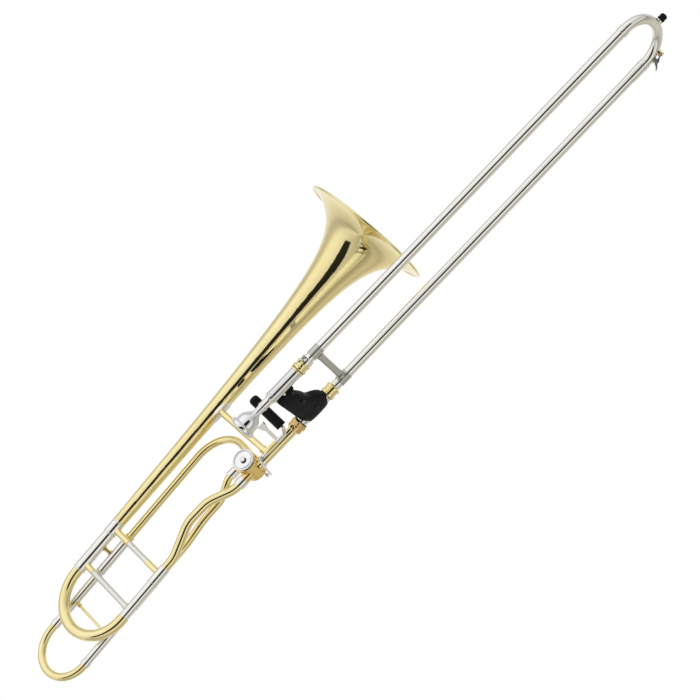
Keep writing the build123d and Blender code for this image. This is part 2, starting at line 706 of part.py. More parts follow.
def in_loop(axis, at):
    """A point of a bell section leg in the loop plane's coordinates."""
    point = loop_plane.to_local_coords(axis.from_local_coords((at, 0, 0)))
    return (point.X, point.Y, point.Z)


with BuildPart() as port_ferrules:
    pipe(main_port, PORT_FERRULE[0], PORT_FERRULE[1], 8.4, MAIN_NECK_R)
    pipe(f_port, PORT_FERRULE[0], PORT_FERRULE[1], 7.3, F_TUBE_R)
    pipe(lower_axis, -106.0, -101.0, 8.2, NECK_R)
    valve_disc(-CASING_HALF, CASING_HALF, CASING_R, mode=Mode.SUBTRACT)
save(port_ferrules, "port_ferrules")

with BuildPart() as main_neck:
    bent(
        [(STUB_BACK, 1.5, 0.0), (-160.0, 1.5, 0.0), (-198.0, 13.0, 10.2), (-238.0, 12.4, 10.8),
         in_loop(main_lower, 114.0), in_loop(main_lower, RECEIVER_STEP)],
        [45.0, 50.0, 55.0, 45.0], MAIN_NECK_R, MAIN_NECK_R - WALL, plane=loop_plane,
    )
save(main_neck, "main_neck")

with BuildPart() as f_neck:
    bent(
        [(STUB_BACK, 23.5, 0.0), (-155.0, 23.5, 0.0), (-184.0, 15.0, -12.0), (-222.0, 13.2, -12.4),
         in_loop(f_lower, 139.4), in_loop(f_lower, F_RECEIVER_STEP)],
        [25.0, 35.0, 60.0, 60.0], F_TUBE_R, F_TUBE_R - WALL, plane=loop_plane,
    )
save(f_neck, "f_neck")

CROOK_X = VALVE_X + PORT_OFFSET
crook_corner = in_loop(f_upper, 299.2)

with BuildPart() as f_crook:
    bent(
        [in_loop(f_upper, F_RECEIVER_STEP), crook_corner, (CROOK_X, 42.0, -3.5), (CROOK_X, 22.0, 0.0)],
        [56.0, 30.0], F_TUBE_R, F_TUBE_R - WALL, plane=loop_plane,
    )
    lathe(f_upper, [
        (83.0, F_TUBE_R - 0.1), (83.0, 6.9), (84.0, 7.3), (89.0, 7.3), (90.0, 6.9),
        (90.0, F_TUBE_R - 0.1),
    ])
    valve_disc(-CASING_HALF, CASING_HALF, CASING_R, mode=Mode.SUBTRACT)
save(f_crook, "f_crook")

# ---- Bell ---------------------------------------------------------------------------------
BELL_TAIL = 95.7
BELL_MOUTH = BELL_TAIL + BELL_LENGTH
BELL_WALL = 0.8
HORN_OFFSET = 19.8
HORN_POWER = 0.7
HORN_STATIONS = (5.0, 14.0, 28.0, 50.0, 85.0, 140.0, 230.0, 360.0, BELL_LENGTH)


def horn_radius(back):
    """Bessel horn: the bell's outer radius at a distance back from its mouth."""
    return BELL_R * (HORN_OFFSET / (HORN_OFFSET + back)) ** HORN_POWER


bead_centre_r = BELL_R - BELL_RIM_BEAD
rim_edge_r = BELL_R - 2.9
outside = [(BELL_MOUTH - 2.4, rim_edge_r)]
outside += [(BELL_MOUTH - back, horn_radius(back)) for back in HORN_STATIONS]
inside = [(x + 0.35, r - BELL_WALL) for x, r in outside]
inside[0] = (BELL_MOUTH - 1.6, rim_edge_r)
inside[-1] = (BELL_TAIL, horn_radius(BELL_LENGTH) - BELL_WALL)

with BuildPart() as bell:
    with BuildSketch(main_upper):
        with BuildLine():
            Spline(*outside)
            Line(outside[-1], inside[-1])
            Spline(*reversed(inside))
            Line(inside[0], outside[0])
        make_face()
        with Locations((BELL_MOUTH - BELL_RIM_BEAD, bead_centre_r)):
            Circle(BELL_RIM_BEAD)
    revolve(axis=Axis(main_upper.origin, main_upper.x_dir))
save(bell, "bell")

# ---- Main tuning slide --------------------------------------------------------------------
UPPER_LEG_R = 8.2
UPPER_OUTER_R = 9.1
LOWER_LEG_R = 7.2
LOWER_RECEIVER_R = 7.9
FERRULE_BACK = 6.0
FERRULE_FRONT = 30.3
OUTER_BACK = 30.6
MAIN_BOW_R = 8.2
MAIN_BOW_CENTRE = 2.0

with BuildPart() as main_receivers:
    pipe(main_upper, OUTER_BACK, BELL_TAIL, UPPER_OUTER_R, UPPER_LEG_R + RUN)
    pipe(main_upper, OUTER_BACK, OUTER_BACK + 2.2, UPPER_OUTER_R + 0.8, UPPER_OUTER_R)
    lathe(main_lower, [
        (66.0, LOWER_LEG_R + RUN), (66.0, 8.6), (68.2, 8.6), (68.6, LOWER_RECEIVER_R),
        (94.0, LOWER_RECEIVER_R), (RECEIVER_FRONT, 7.3), (RECEIVER_FRONT, MAIN_NECK_R),
        (RECEIVER_STEP, MAIN_NECK_R), (RECEIVER_STEP, LOWER_LEG_R + RUN),
    ])
save(main_receivers, "main_receivers")

with BuildPart() as bell_ferrule:
    lathe(main_upper, [
        (73.2, UPPER_OUTER_R), (73.2, 9.9), (73.9, 10.4), (75.2, 10.4), (75.9, 9.9),
        (93.0, 9.9), (93.7, 10.4), (95.0, 10.4), (BELL_TAIL, 9.9), (BELL_TAIL, UPPER_OUTER_R),
    ])
save(bell_ferrule, "bell_ferrule")

with BuildPart() as main_slide_legs:
    pipe(main_upper, FERRULE_BACK, 76.0, UPPER_LEG_R, UPPER_LEG_R - WALL)
    pipe(main_lower, MAIN_BOW_CENTRE, 91.5, LOWER_LEG_R, LOWER_LEG_R - WALL)
save(main_slide_legs, "main_slide_legs")

with BuildPart() as main_upper_ferrule:
    lathe(main_upper, [
        (FERRULE_BACK, UPPER_LEG_R), (FERRULE_BACK, 9.3), (FERRULE_BACK + 0.5, 9.9),
        (FERRULE_BACK + 1.9, 9.9), (FERRULE_BACK + 2.5, 9.3),
        (FERRULE_FRONT, 9.3), (FERRULE_FRONT, UPPER_LEG_R),
    ])
save(main_upper_ferrule, "main_upper_ferrule")

with BuildPart() as main_bow:
    u_bow(main_lower, MAIN_SPACING, MAIN_BOW_CENTRE, -1, FERRULE_BACK - MAIN_BOW_CENTRE,
          MAIN_BOW_R, MAIN_BOW_R - WALL)
    pipe(main_lower, MAIN_BOW_CENTRE, MAIN_BOW_CENTRE + 5.0, MAIN_BOW_R, LOWER_LEG_R)
save(main_bow, "main_bow")

BRACE_A = 18.6             # main tuning slide's brace
BRACE_B = 83.4             # bell section's brace
BRACE_ROD_R = 4.5
BRACE_SOCKET_R = 4.9
SOCKET_RISE = 32.0
SOCKET_FALL = 79.0
SOCKET_DROP = 25.0

with BuildPart() as main_slide_brace:
    cross_rod(main_lower, BRACE_A, 0, MAIN_SPACING - SOCKET_DROP, BRACE_ROD_R)
    cross_rod(main_lower, BRACE_A, 0, 11.5, 5.4)
    pipe(main_lower, BRACE_A - 10, BRACE_A + 10, LOWER_LEG_R, mode=Mode.SUBTRACT)
save(main_slide_brace, "main_slide_brace")

with BuildPart() as main_brace_socket:
    cross_rod(main_lower, BRACE_A, MAIN_SPACING - SOCKET_DROP, MAIN_SPACING, BRACE_SOCKET_R)
    pipe(main_upper, BRACE_A - 10, BRACE_A + 10, 9.3, mode=Mode.SUBTRACT)
save(main_brace_socket, "main_brace_socket")

with BuildPart() as bell_section_brace:
    cross_rod(main_lower, BRACE_B, SOCKET_RISE, SOCKET_FALL, BRACE_ROD_R)
save(bell_section_brace, "bell_section_brace")

with BuildPart() as bell_section_sockets:
    cross_rod(main_lower, BRACE_B, 0, SOCKET_RISE, BRACE_SOCKET_R)
    cross_rod(main_lower, BRACE_B, SOCKET_FALL, MAIN_SPACING, BRACE_SOCKET_R)
    pipe(main_lower, BRACE_B - 10, BRACE_B + 10, LOWER_RECEIVER_R, mode=Mode.SUBTRACT)
    pipe(main_upper, BRACE_B - 10, BRACE_B + 10, 9.9, mode=Mode.SUBTRACT)
save(bell_section_sockets, "bell_section_sockets")

# ---- F tuning slide -----------------------------------------------------------------------
F_LEG_R = 6.25
F_RECEIVER_R = 7.0
F_BOW_CENTRE = -84.0
F_UPPER_START = -77.0
F_BOW_R = 6.0
F_RECEIVER_BACK = 22.9

with BuildPart() as f_receivers:
    for axis in (f_lower, f_upper):
        lathe(axis, [
            (F_RECEIVER_BACK, F_LEG_R + RUN), (F_RECEIVER_BACK, 7.6), (F_RECEIVER_BACK + 2, 7.6),
            (F_RECEIVER_BACK + 2.4, F_RECEIVER_R), (F_RECEIVER_FRONT - 1, F_RECEIVER_R),
            (F_RECEIVER_FRONT, 6.4), (F_RECEIVER_FRONT, F_TUBE_R), (F_RECEIVER_STEP, F_TUBE_R),
            (F_RECEIVER_STEP, F_LEG_R + RUN),
        ])
save(f_receivers, "f_receivers")

with BuildPart() as f_slide_legs:
    for axis, at in ((f_lower, F_BOW_CENTRE), (f_upper, F_UPPER_START)):
        pipe(axis, at, 75.5, F_LEG_R, F_LEG_R - WALL)
        pipe(axis, at, at + 8.0, 7.0, F_LEG_R)
save(f_slide_legs, "f_slide_legs")

with BuildPart() as f_bow:
    u_bow(f_lower, F_SPACING, F_BOW_CENTRE, -1, F_UPPER_START - F_BOW_CENTRE, F_BOW_R,
          F_BOW_R - WALL)
save(f_bow, "f_bow")

F_BRACE = -31.7

with BuildPart() as f_slide_brace:
    cross_rod(f_lower, F_BRACE, 0, F_SPACING, 2.0)
    cross_rod(f_lower, F_BRACE, 0, 13.0, 3.2)
    cross_rod(f_lower, F_BRACE, F_SPACING - 13.0, F_SPACING, 3.2)
    for axis in (f_lower, f_upper):
        pipe(axis, F_BRACE - 8, F_BRACE + 8, F_LEG_R, mode=Mode.SUBTRACT)
save(f_slide_brace, "f_slide_brace")


def tie_post(main_axis, f_axis, at, main_r, f_r):
    """A small dumbbell post between a main tube and the F tube behind it."""
    start = main_axis.from_local_coords((at, 0, 0))
    stop = f_axis.from_local_coords((at, 0, 0))
    along = (stop - start).normalized()
    length = (stop - start).length
    foot = Plane(origin=start, x_dir=main_axis.x_dir, z_dir=along)
    extrude(ring(foot, 3.0), amount=length)
    extrude(ring(foot, 4.4), amount=main_r + 1.5)
    extrude(ring(foot.offset(length - f_r - 1.5), 4.4), amount=f_r + 1.5)
    pipe(main_axis, at - 8, at + 8, main_r, mode=Mode.SUBTRACT)
    pipe(f_axis, at - 8, at + 8, f_r, mode=Mode.SUBTRACT)


with BuildPart() as tie_posts:
    tie_post(main_upper, f_upper, 52.5, UPPER_OUTER_R, F_RECEIVER_R)
    tie_post(main_lower, f_lower, 74.0, LOWER_RECEIVER_R, F_RECEIVER_R)
save(tie_posts, "tie_posts")

# ---- Bell brace ---------------------------------------------------------------------------
BELL_BRACE = 310.3
BELL_BRACE_R = 5.0
SADDLE_THICK = 1.3
SADDLE_REACH = 30.0
bell_brace_r = horn_radius(BELL_MOUTH - BELL_BRACE)


def bell_skin(gap):
    """The bell's outside near the brace, as points of two cones that stand off by a gap."""
    return [
        (at, horn_radius(BELL_MOUTH - at) + gap)
        for at in (BELL_BRACE - SADDLE_REACH, BELL_BRACE, BELL_BRACE + SADDLE_REACH)
    ]


with BuildPart() as bell_brace:
    cross_rod(main_lower, BELL_BRACE, -10.0, MAIN_SPACING - 3.0, BELL_BRACE_R)
    cross_rod(main_lower, BELL_BRACE, -10.0, 3.5, BELL_BRACE_R + 1.2)
    pipe(lower_axis, -120.0, -50.0, NECK_R, mode=Mode.SUBTRACT)
    skin = bell_skin(0.05 + SADDLE_THICK)
    lathe(main_upper, [(skin[0][0], 0), *skin, (skin[-1][0], 0)], mode=Mode.SUBTRACT)
save(bell_brace, "bell_brace")

# A thin oval plate is bent round the underside of the bell, and the brace ends in it.
with BuildPart() as bell_brace_saddle:
    lathe(main_upper, [*bell_skin(0.05), *reversed(bell_skin(0.05 + SADDLE_THICK))])
    saddle_plane = Plane(
        origin=main_upper.from_local_coords((BELL_BRACE, -bell_brace_r - 1.5, 0)),
        x_dir=main_upper.x_dir,
        z_dir=main_upper.y_dir,
    )
    with BuildSketch(saddle_plane) as outline:
        Ellipse(19.0, 9.0)
    extrude(outline.sketch, amount=bell_brace_r + 1.5, mode=Mode.INTERSECT)
save(bell_brace_saddle, "bell_brace_saddle")
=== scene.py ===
import json
from math import cos, copysign, pi, radians, sin, sqrt

import bpy
from mathutils import Matrix, Vector


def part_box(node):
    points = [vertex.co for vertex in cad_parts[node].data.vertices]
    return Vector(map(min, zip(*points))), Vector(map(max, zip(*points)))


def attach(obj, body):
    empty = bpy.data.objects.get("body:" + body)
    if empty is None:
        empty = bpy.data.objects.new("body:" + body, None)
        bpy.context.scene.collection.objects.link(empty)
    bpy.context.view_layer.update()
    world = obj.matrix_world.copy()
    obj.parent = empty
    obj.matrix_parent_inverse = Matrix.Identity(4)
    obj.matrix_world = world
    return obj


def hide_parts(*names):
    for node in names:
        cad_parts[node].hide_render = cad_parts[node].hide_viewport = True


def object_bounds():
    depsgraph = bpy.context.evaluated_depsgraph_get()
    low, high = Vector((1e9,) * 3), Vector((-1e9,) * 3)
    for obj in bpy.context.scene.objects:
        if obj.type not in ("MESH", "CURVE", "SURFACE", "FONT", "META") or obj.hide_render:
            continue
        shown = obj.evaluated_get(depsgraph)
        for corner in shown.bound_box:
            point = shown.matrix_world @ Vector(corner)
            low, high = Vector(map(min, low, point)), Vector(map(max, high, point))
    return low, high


# A tenor trombone with a rotary F attachment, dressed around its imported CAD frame.
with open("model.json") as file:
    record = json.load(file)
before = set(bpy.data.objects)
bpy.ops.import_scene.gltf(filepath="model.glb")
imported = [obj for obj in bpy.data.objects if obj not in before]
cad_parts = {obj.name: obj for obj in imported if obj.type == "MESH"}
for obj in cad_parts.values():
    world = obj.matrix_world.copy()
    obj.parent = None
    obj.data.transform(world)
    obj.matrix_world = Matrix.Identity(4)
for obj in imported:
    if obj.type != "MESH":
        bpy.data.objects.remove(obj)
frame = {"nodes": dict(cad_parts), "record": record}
cad_low, cad_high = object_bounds()
nodes = frame["nodes"]
scene = bpy.context.scene


# ---- Camera --------------------------------------------------------------------------------
CAMERA_PLACE = Vector((0.094, -2.469, -0.00625))
CAMERA_ROLL = 46.2         # the slide climbs to the right by this angle, degrees
CAMERA_LENS = 91.8
SENSOR_WIDTH = 36.0
CLIP_END = 60.0            # past the far edge of the floor

camera_data = bpy.data.cameras.new("camera")
camera_data.lens = CAMERA_LENS
camera_data.sensor_width = SENSOR_WIDTH
camera_data.clip_end = CLIP_END
camera = bpy.data.objects.new("camera", camera_data)
scene.collection.objects.link(camera)
turn = radians(CAMERA_ROLL)
right = Vector((cos(turn), 0.0, -sin(turn)))
up = Vector((sin(turn), 0.0, cos(turn)))
back = Vector((0.0, -1.0, 0.0))
facing = Matrix((right, up, back)).transposed().to_4x4()
camera.matrix_world = Matrix.Translation(CAMERA_PLACE) @ facing
scene.camera = camera
scene.view_settings.view_transform = "Standard"


# ---- Node helpers --------------------------------------------------------------------------
def ramp(tree, source, stops):
    """A colour ramp of (position, colour) stops over a source socket."""
    node = tree.nodes.new("ShaderNodeValToRGB")
    elements = node.color_ramp.elements
    while len(elements) < len(stops):
        elements.new(0.5)
    for element, (position, colour) in zip(elements, stops):
        element.position = position
        element.color = (*colour, 1.0)
    tree.links.new(source, node.inputs["Fac"])
    return node.outputs["Color"]


def remap(tree, source, from_low, from_high, to_low, to_high, smooth=False):
    """A clamped change of range."""
    node = tree.nodes.new("ShaderNodeMapRange")
    if smooth:
        node.interpolation_type = "SMOOTHSTEP"
    for place, value in enumerate((from_low, from_high, to_low, to_high), start=1):
        node.inputs[place].default_value = value
    tree.links.new(source, node.inputs[0])
    return node.outputs[0]


def maths(tree, operation, first, second=None):
    """A maths node over sockets or numbers."""
    node = tree.nodes.new("ShaderNodeMath")
    node.operation = operation
    for place, value in enumerate((first, second)):
        if value is None:
            continue
        if isinstance(value, (int, float)):
            node.inputs[place].default_value = value
        else:
            tree.links.new(value, node.inputs[place])
    return node.outputs[0]


# ---- Studio: pale surroundings with grey bands and a dark slot around the lens ---------------
# (azimuth from the lens, elevation of the slot's middle, half height), all in degrees
SLOT_SHAPE = (
    (-62.0, 28.0, 13.0),
    (-40.0, 15.0, 15.0),
    (-20.0, 4.0, 17.5),
    (0.0, 0.0, 15.5),
    (34.0, 0.0, 14.0),
)
SLOT_LEFT = SLOT_SHAPE[0][0]
SLOT_RIGHT = SLOT_SHAPE[-1][0]
SLOT_SOFT = 2.0            # half the width of its blurred edges, degrees
SLOT_DEPTH = 0.97          # how much of the light it takes away
# (elevation about the X axis from the lens in degrees, colour)
SURROUNDINGS = (
    (-180.0, (0.98, 0.98, 0.98)),
    (-138.0, (0.74, 0.72, 0.68)),
    (-122.0, (0.56, 0.54, 0.50)),
    (-100.0, (0.66, 0.63, 0.58)),
    (-76.0, (0.42, 0.40, 0.37)),
    (-62.0, (0.46, 0.44, 0.41)),
    (-44.0, (0.92, 0.91, 0.88)),
    (-34.0, (0.94, 0.93, 0.90)),
    (-22.0, (0.60, 0.58, 0.55)),
    (22.0, (0.80, 0.81, 0.83)),
    (34.0, (0.88, 0.89, 0.92)),
    (60.0, (1.02, 1.03, 1.06)),
    (84.0, (1.04, 1.05, 1.09)),
    (108.0, (0.66, 0.66, 0.68)),
    (124.0, (0.58, 0.58, 0.60)),
    (142.0, (0.78, 0.78, 0.80)),
    (180.0, (0.98, 0.98, 0.98)),
)
# (x of the direction, brightness): the far ends of the room are dimmer
SIDES = (
    (-1.0, 0.75),
    (-0.8, 0.88),
    (-0.5, 0.97),
    (0.0, 1.0),
    (0.5, 0.95),
    (0.8, 0.88),
    (1.0, 0.72),
)


def make_world():
    """Surroundings that the metal mirrors; the camera itself sees plain white."""
    world = bpy.data.worlds.new("studio")
    world.use_nodes = True
    tree = world.node_tree
    tree.nodes.clear()
    place = tree.nodes.new("ShaderNodeTexCoord")
    split = tree.nodes.new("ShaderNodeSeparateXYZ")
    tree.links.new(place.outputs["Generated"], split.inputs[0])
    x, y, z = split.outputs
    toward_lens = maths(tree, "MULTIPLY", y, -1.0)
    elevation = maths(tree, "ARCTAN2", z, toward_lens)
    surroundings = ramp(
        tree,
        remap(tree, elevation, radians(-180), radians(180), 0.0, 1.0),
        [((angle + 180) / 360, colour) for angle, colour in SURROUNDINGS],
    )
    azimuth = maths(tree, "ARCTAN2", x, toward_lens)
    along_slot = remap(tree, azimuth, radians(SLOT_LEFT), radians(SLOT_RIGHT), 0.0, 1.0)
    span = SLOT_RIGHT - SLOT_LEFT
    middle, half_height = (
        ramp(tree, along_slot, [
            ((row[0] - SLOT_LEFT) / span, (radians(row[column]),) * 3) for row in SLOT_SHAPE
        ])
        for column in (1, 2)
    )
    level = maths(tree, "ABSOLUTE", maths(tree, "SUBTRACT", elevation, middle))
    outside = maths(tree, "SUBTRACT", level, half_height)
    soft = radians(SLOT_SOFT)
    in_height = remap(tree, outside, -soft, soft, 1.0, 0.0, smooth=True)
    in_left = remap(tree, azimuth, radians(SLOT_LEFT) - soft, radians(SLOT_LEFT) + soft, 0.0, 1.0,
                    smooth=True)
    in_right = remap(tree, azimuth, radians(SLOT_RIGHT) - soft, radians(SLOT_RIGHT) + soft, 1.0,
                     0.0, smooth=True)
    slot = maths(tree, "MULTIPLY", in_height, maths(tree, "MULTIPLY", in_left, in_right))
    clear = maths(tree, "SUBTRACT", 1.0, maths(tree, "MULTIPLY", slot, SLOT_DEPTH))
    mirrored = tree.nodes.new("ShaderNodeBackground")
    shown = tree.nodes.new("ShaderNodeBackground")
    shown.inputs["Color"].default_value = (1.0, 1.0, 1.0, 1.0)
    shown.inputs["Strength"].default_value = 1.0
    sides = ramp(
        tree,
        remap(tree, x, -1.0, 1.0, 0.0, 1.0),
        [((sideways + 1) / 2, (bright,) * 3) for sideways, bright in SIDES],
    )
    tree.links.new(surroundings, mirrored.inputs["Color"])
    tree.links.new(maths(tree, "MULTIPLY", clear, sides), mirrored.inputs["Strength"])
    path = tree.nodes.new("ShaderNodeLightPath")
    mix = tree.nodes.new("ShaderNodeMixShader")
    tree.links.new(path.outputs["Is Camera Ray"], mix.inputs[0])
    tree.links.new(mirrored.outputs[0], mix.inputs[1])
    tree.links.new(shown.outputs[0], mix.inputs[2])
    output = tree.nodes.new("ShaderNodeOutputWorld")
    tree.links.new(mix.outputs[0], output.inputs["Surface"])
    scene.world = world


make_world()


# ---- Materials -----------------------------------------------------------------------------
def new_material(name):
    """An empty node material; returns it with its tree and its Principled shader."""
    material = bpy.data.materials.new(name)
    material.use_nodes = True
    tree = material.node_tree
    return material, tree, tree.nodes["Principled BSDF"]


def noise(tree, scale, detail, stretch=(1.0, 1.0, 1.0)):
    """Noise over the object's own metres, scale in cells per metre."""
    place = tree.nodes.new("ShaderNodeTexCoord")
    mapping = tree.nodes.new("ShaderNodeMapping")
    mapping.inputs["Scale"].default_value = stretch
    texture = tree.nodes.new("ShaderNodeTexNoise")
    texture.inputs["Scale"].default_value = scale
    texture.inputs["Detail"].default_value = detail
    tree.links.new(place.outputs["Object"], mapping.inputs["Vector"])
    tree.links.new(mapping.outputs["Vector"], texture.inputs["Vector"])
    return texture.outputs["Fac"]


def bump(tree, shader, height, depth):
    """Relief of a depth in metres."""
    node = tree.nodes.new("ShaderNodeBump")
    node.inputs["Strength"].default_value = 1.0
    node.inputs["Distance"].default_value = depth
    tree.links.new(height, node.inputs["Height"])
    tree.links.new(node.outputs["Normal"], shader.inputs["Normal"])


# Scales of the patterns, in cells per metre
TONE_SCALE = 14.0
WIPE_SCALE = 220.0
RIPPLE_SCALE = 60.0
MOULDING_TONE_SCALE = 90.0
MOULDING_SHEEN_SCALE = 160.0
CORK_GRAIN_SCALE = 900.0
CORK_BUMP_SCALE = 1500.0
# The marks on the tubes run along X
WIPE_STRETCH = (0.15, 1.0, 1.0)
RIPPLE_STRETCH = (0.3, 1.0, 1.0)
RIPPLE = 0.00001           # metres
CORK_BUMP = 0.0002         # metres
LACQUER_ROUGHNESS = 0.03
MOULDING_SPECULAR = 0.16
CORK_ROUGHNESS = 0.85


def metal(name, dark, light, rough_low, rough_high, lacquer=0.0, ripple=0.0):
    """Metal with slow tone changes, wiping marks and, if asked, a coat and a faint ripple."""
    material, tree, shader = new_material(name)
    shader.inputs["Metallic"].default_value = 1.0
    shader.inputs["Coat Weight"].default_value = lacquer
    shader.inputs["Coat Roughness"].default_value = LACQUER_ROUGHNESS
    tone = ramp(tree, noise(tree, TONE_SCALE, 4.0), [(0.35, dark), (0.65, light)])
    tree.links.new(tone, shader.inputs["Base Color"])
    wiped = noise(tree, WIPE_SCALE, 3.0, WIPE_STRETCH)
    tree.links.new(remap(tree, wiped, 0.3, 0.7, rough_low, rough_high), shader.inputs["Roughness"])
    if ripple > 0:
        bump(tree, shader, noise(tree, RIPPLE_SCALE, 2.0, RIPPLE_STRETCH), ripple)
    return material


def moulding(name, dark, light, grain, depth, rough_low, rough_high):
    """Black plastic or rubber with a fine pebbled grain."""
    material, tree, shader = new_material(name)
    shader.inputs["Specular IOR Level"].default_value = MOULDING_SPECULAR
    cells = tree.nodes.new("ShaderNodeTexVoronoi")
    cells.inputs["Scale"].default_value = grain
    place = tree.nodes.new("ShaderNodeTexCoord")
    tree.links.new(place.outputs["Object"], cells.inputs["Vector"])
    tone = ramp(tree, noise(tree, MOULDING_TONE_SCALE, 4.0), [(0.3, dark), (0.75, light)])
    tree.links.new(tone, shader.inputs["Base Color"])
    tree.links.new(
        remap(tree, noise(tree, MOULDING_SHEEN_SCALE, 3.0), 0.3, 0.7, rough_low, rough_high),
        shader.inputs["Roughness"],
    )
    bump(tree, shader, cells.outputs["Distance"], depth)
    return material


def cork_material():
    """Cork: pale brown granules with dark pores."""
    material, tree, shader = new_material("cork")
    shader.inputs["Roughness"].default_value = CORK_ROUGHNESS
    cells = tree.nodes.new("ShaderNodeTexVoronoi")
    cells.inputs["Scale"].default_value = CORK_GRAIN_SCALE
    place = tree.nodes.new("ShaderNodeTexCoord")
    tree.links.new(place.outputs["Object"], cells.inputs["Vector"])
    tone = ramp(tree, cells.outputs["Distance"],
                [(0.0, (0.62, 0.44, 0.26)), (0.5, (0.50, 0.33, 0.18)), (0.9, (0.22, 0.13, 0.07))])
    tree.links.new(tone, shader.inputs["Base Color"])
    bump(tree, shader, noise(tree, CORK_BUMP_SCALE, 3.0), CORK_BUMP)
    return material


# metal(name, darker tone, lighter tone, lowest roughness, highest roughness)
lacquered_brass = metal("lacquered_brass", (0.91, 0.77, 0.37), (0.95, 0.83, 0.43), 0.035, 0.075,
                        lacquer=0.25, ripple=RIPPLE)
# Painted shade: the casing's brass is darker and deeper than the rest, to give it the shaded look
# of its lower side.
shaded_casing_brass = metal("shaded_casing_brass", (0.84, 0.60, 0.20), (0.93, 0.73, 0.31), 0.08, 0.16,
                     lacquer=0.2, ripple=RIPPLE)
gold_brass = metal("gold_brass", (0.72, 0.47, 0.17), (0.84, 0.60, 0.25), 0.08, 0.16, lacquer=0.2)
nickel = metal("nickel_silver", (0.88, 0.86, 0.79), (0.93, 0.91, 0.85), 0.05, 0.10, ripple=RIPPLE)
barrel_nickel = metal("barrel_nickel", (0.74, 0.73, 0.70), (0.80, 0.79, 0.76), 0.08, 0.14,
                      ripple=RIPPLE)
satin_nickel = metal("nickel_silver_satin", (0.80, 0.78, 0.72), (0.86, 0.84, 0.78), 0.26, 0.36)
brushed_nickel = metal("brushed_nickel", (0.54, 0.53, 0.49), (0.61, 0.60, 0.56), 0.24, 0.34)
silver = metal("silver_plate", (0.86, 0.855, 0.85), (0.91, 0.905, 0.895), 0.03, 0.06)
cap_silver = metal("cap_silver", (0.76, 0.72, 0.70), (0.82, 0.79, 0.76), 0.06, 0.10)
steel = metal("steel", (0.55, 0.55, 0.56), (0.66, 0.66, 0.67), 0.18, 0.30)
black_steel = metal("black_steel", (0.035, 0.034, 0.033), (0.075, 0.073, 0.070), 0.30, 0.45)
# moulding(name, darker tone, lighter tone, grain in cells per metre, depth of the grain in
# metres, lowest roughness, highest roughness)
black_moulding = moulding("black_moulding", (0.004, 0.004, 0.005), (0.009, 0.009, 0.010), 1400.0,
                          0.00012, 0.42, 0.58)
black_rubber = moulding("black_rubber", (0.005, 0.005, 0.005), (0.010, 0.010, 0.009), 1800.0,
                        0.00010, 0.62, 0.78)
cork = cork_material()

# The finish of each material slot, and of the nodes that don't look like the rest of their slot
FINISH = {
    "lacquered_brass": lacquered_brass,
    "nickel_silver": nickel,
    "silver_plate": silver,
    "gold_brass": gold_brass,
    "black_moulding": black_moulding,
    "black_rubber": black_rubber,
    "black_steel": black_steel,
    "cork": cork,
    "steel": steel,
}
OWN_FINISH = {
    "main_slide_brace": satin_nickel,
    "bell_section_brace": satin_nickel,
    "rotor_casing": shaded_casing_brass,
    "cork_barrels": barrel_nickel,
    "outer_brace": brushed_nickel,
    "link_rod": satin_nickel,
    "water_key_lever": satin_nickel,
    "water_key_saddle": satin_nickel,
    "cap_screw": silver,
    "valve_cap": cap_silver,
}


def dress_nodes():
    """Give every CAD node its own finish or that of its slot."""
    for entry in frame["record"]["subparts"]:
        node = nodes[entry["node"]]
        finish = OWN_FINISH.get(entry["node"], FINISH[entry["material_slot"]])
        node.data.materials.clear()
        node.data.materials.append(finish)


dress_nodes()


# ---- Planes and shapes ---------------------------------------------------------------------
MM = 0.001
SLIDE_LEAN = radians(49.8)
BELL_LEAN = radians(38.3)
SLIDE_HALF = 40.5          # the slide tubes run this far above and below the origin


def slide_point(x, rise, near):
    """A place in millimetres by the slide's own plane, in metres."""
    return MM * Vector((
        x,
        -sin(SLIDE_LEAN) * rise - cos(SLIDE_LEAN) * near,
        cos(SLIDE_LEAN) * rise - sin(SLIDE_LEAN) * near,
    ))


def bell_point(x, rise, near):
    """A place in millimetres by the bell section's plane, from the lower slide tube, in metres."""
    low_tube = slide_point(0.0, -SLIDE_HALF, 0.0)
    return low_tube + MM * Vector((
        x,
        sin(BELL_LEAN) * rise - cos(BELL_LEAN) * near,
        cos(BELL_LEAN) * rise + sin(BELL_LEAN) * near,
    ))


def new_piece(name, vertices, faces, finish, body, smooth=True):
    """A mesh piece that rides on a body and takes its finish from a slot."""
    mesh = bpy.data.meshes.new(name)
    mesh.from_pydata([tuple(v) for v in vertices], [], faces)
    mesh.validate()
    mesh.materials.append(finish)
    for polygon in mesh.polygons:
        polygon.use_smooth = smooth
    piece = bpy.data.objects.new(name, mesh)
    scene.collection.objects.link(piece)
    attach(piece, body)
    return piece


def skin_faces(rings, around, closed=False):
    """Quads between rings of points, with end caps unless the rings close on themselves."""
    faces = []
    for ring in range(rings if closed else rings - 1):
        here = ring * around
        there = (ring + 1) % rings * around
        for step in range(around):
            beside = (step + 1) % around
            faces.append((here + step, here + beside, there + beside, there + step))
    if not closed:
        faces.append(tuple(reversed(range(around))))
        faces.append(tuple(range((rings - 1) * around, rings * around)))
    return faces


def subdivide(piece, levels):
    """Round a coarse cage off with a subdivision surface."""
    modifier = piece.modifiers.new("rounding", "SUBSURF")
    modifier.levels = levels
    modifier.render_levels = levels


WIRE_SIDES = 10
WIRE_TIP = 0.6             # share of the radius left at the ends of a wire
COIL_STEPS = 24            # points in one turn of a coil
TURNED_SIDES = 64


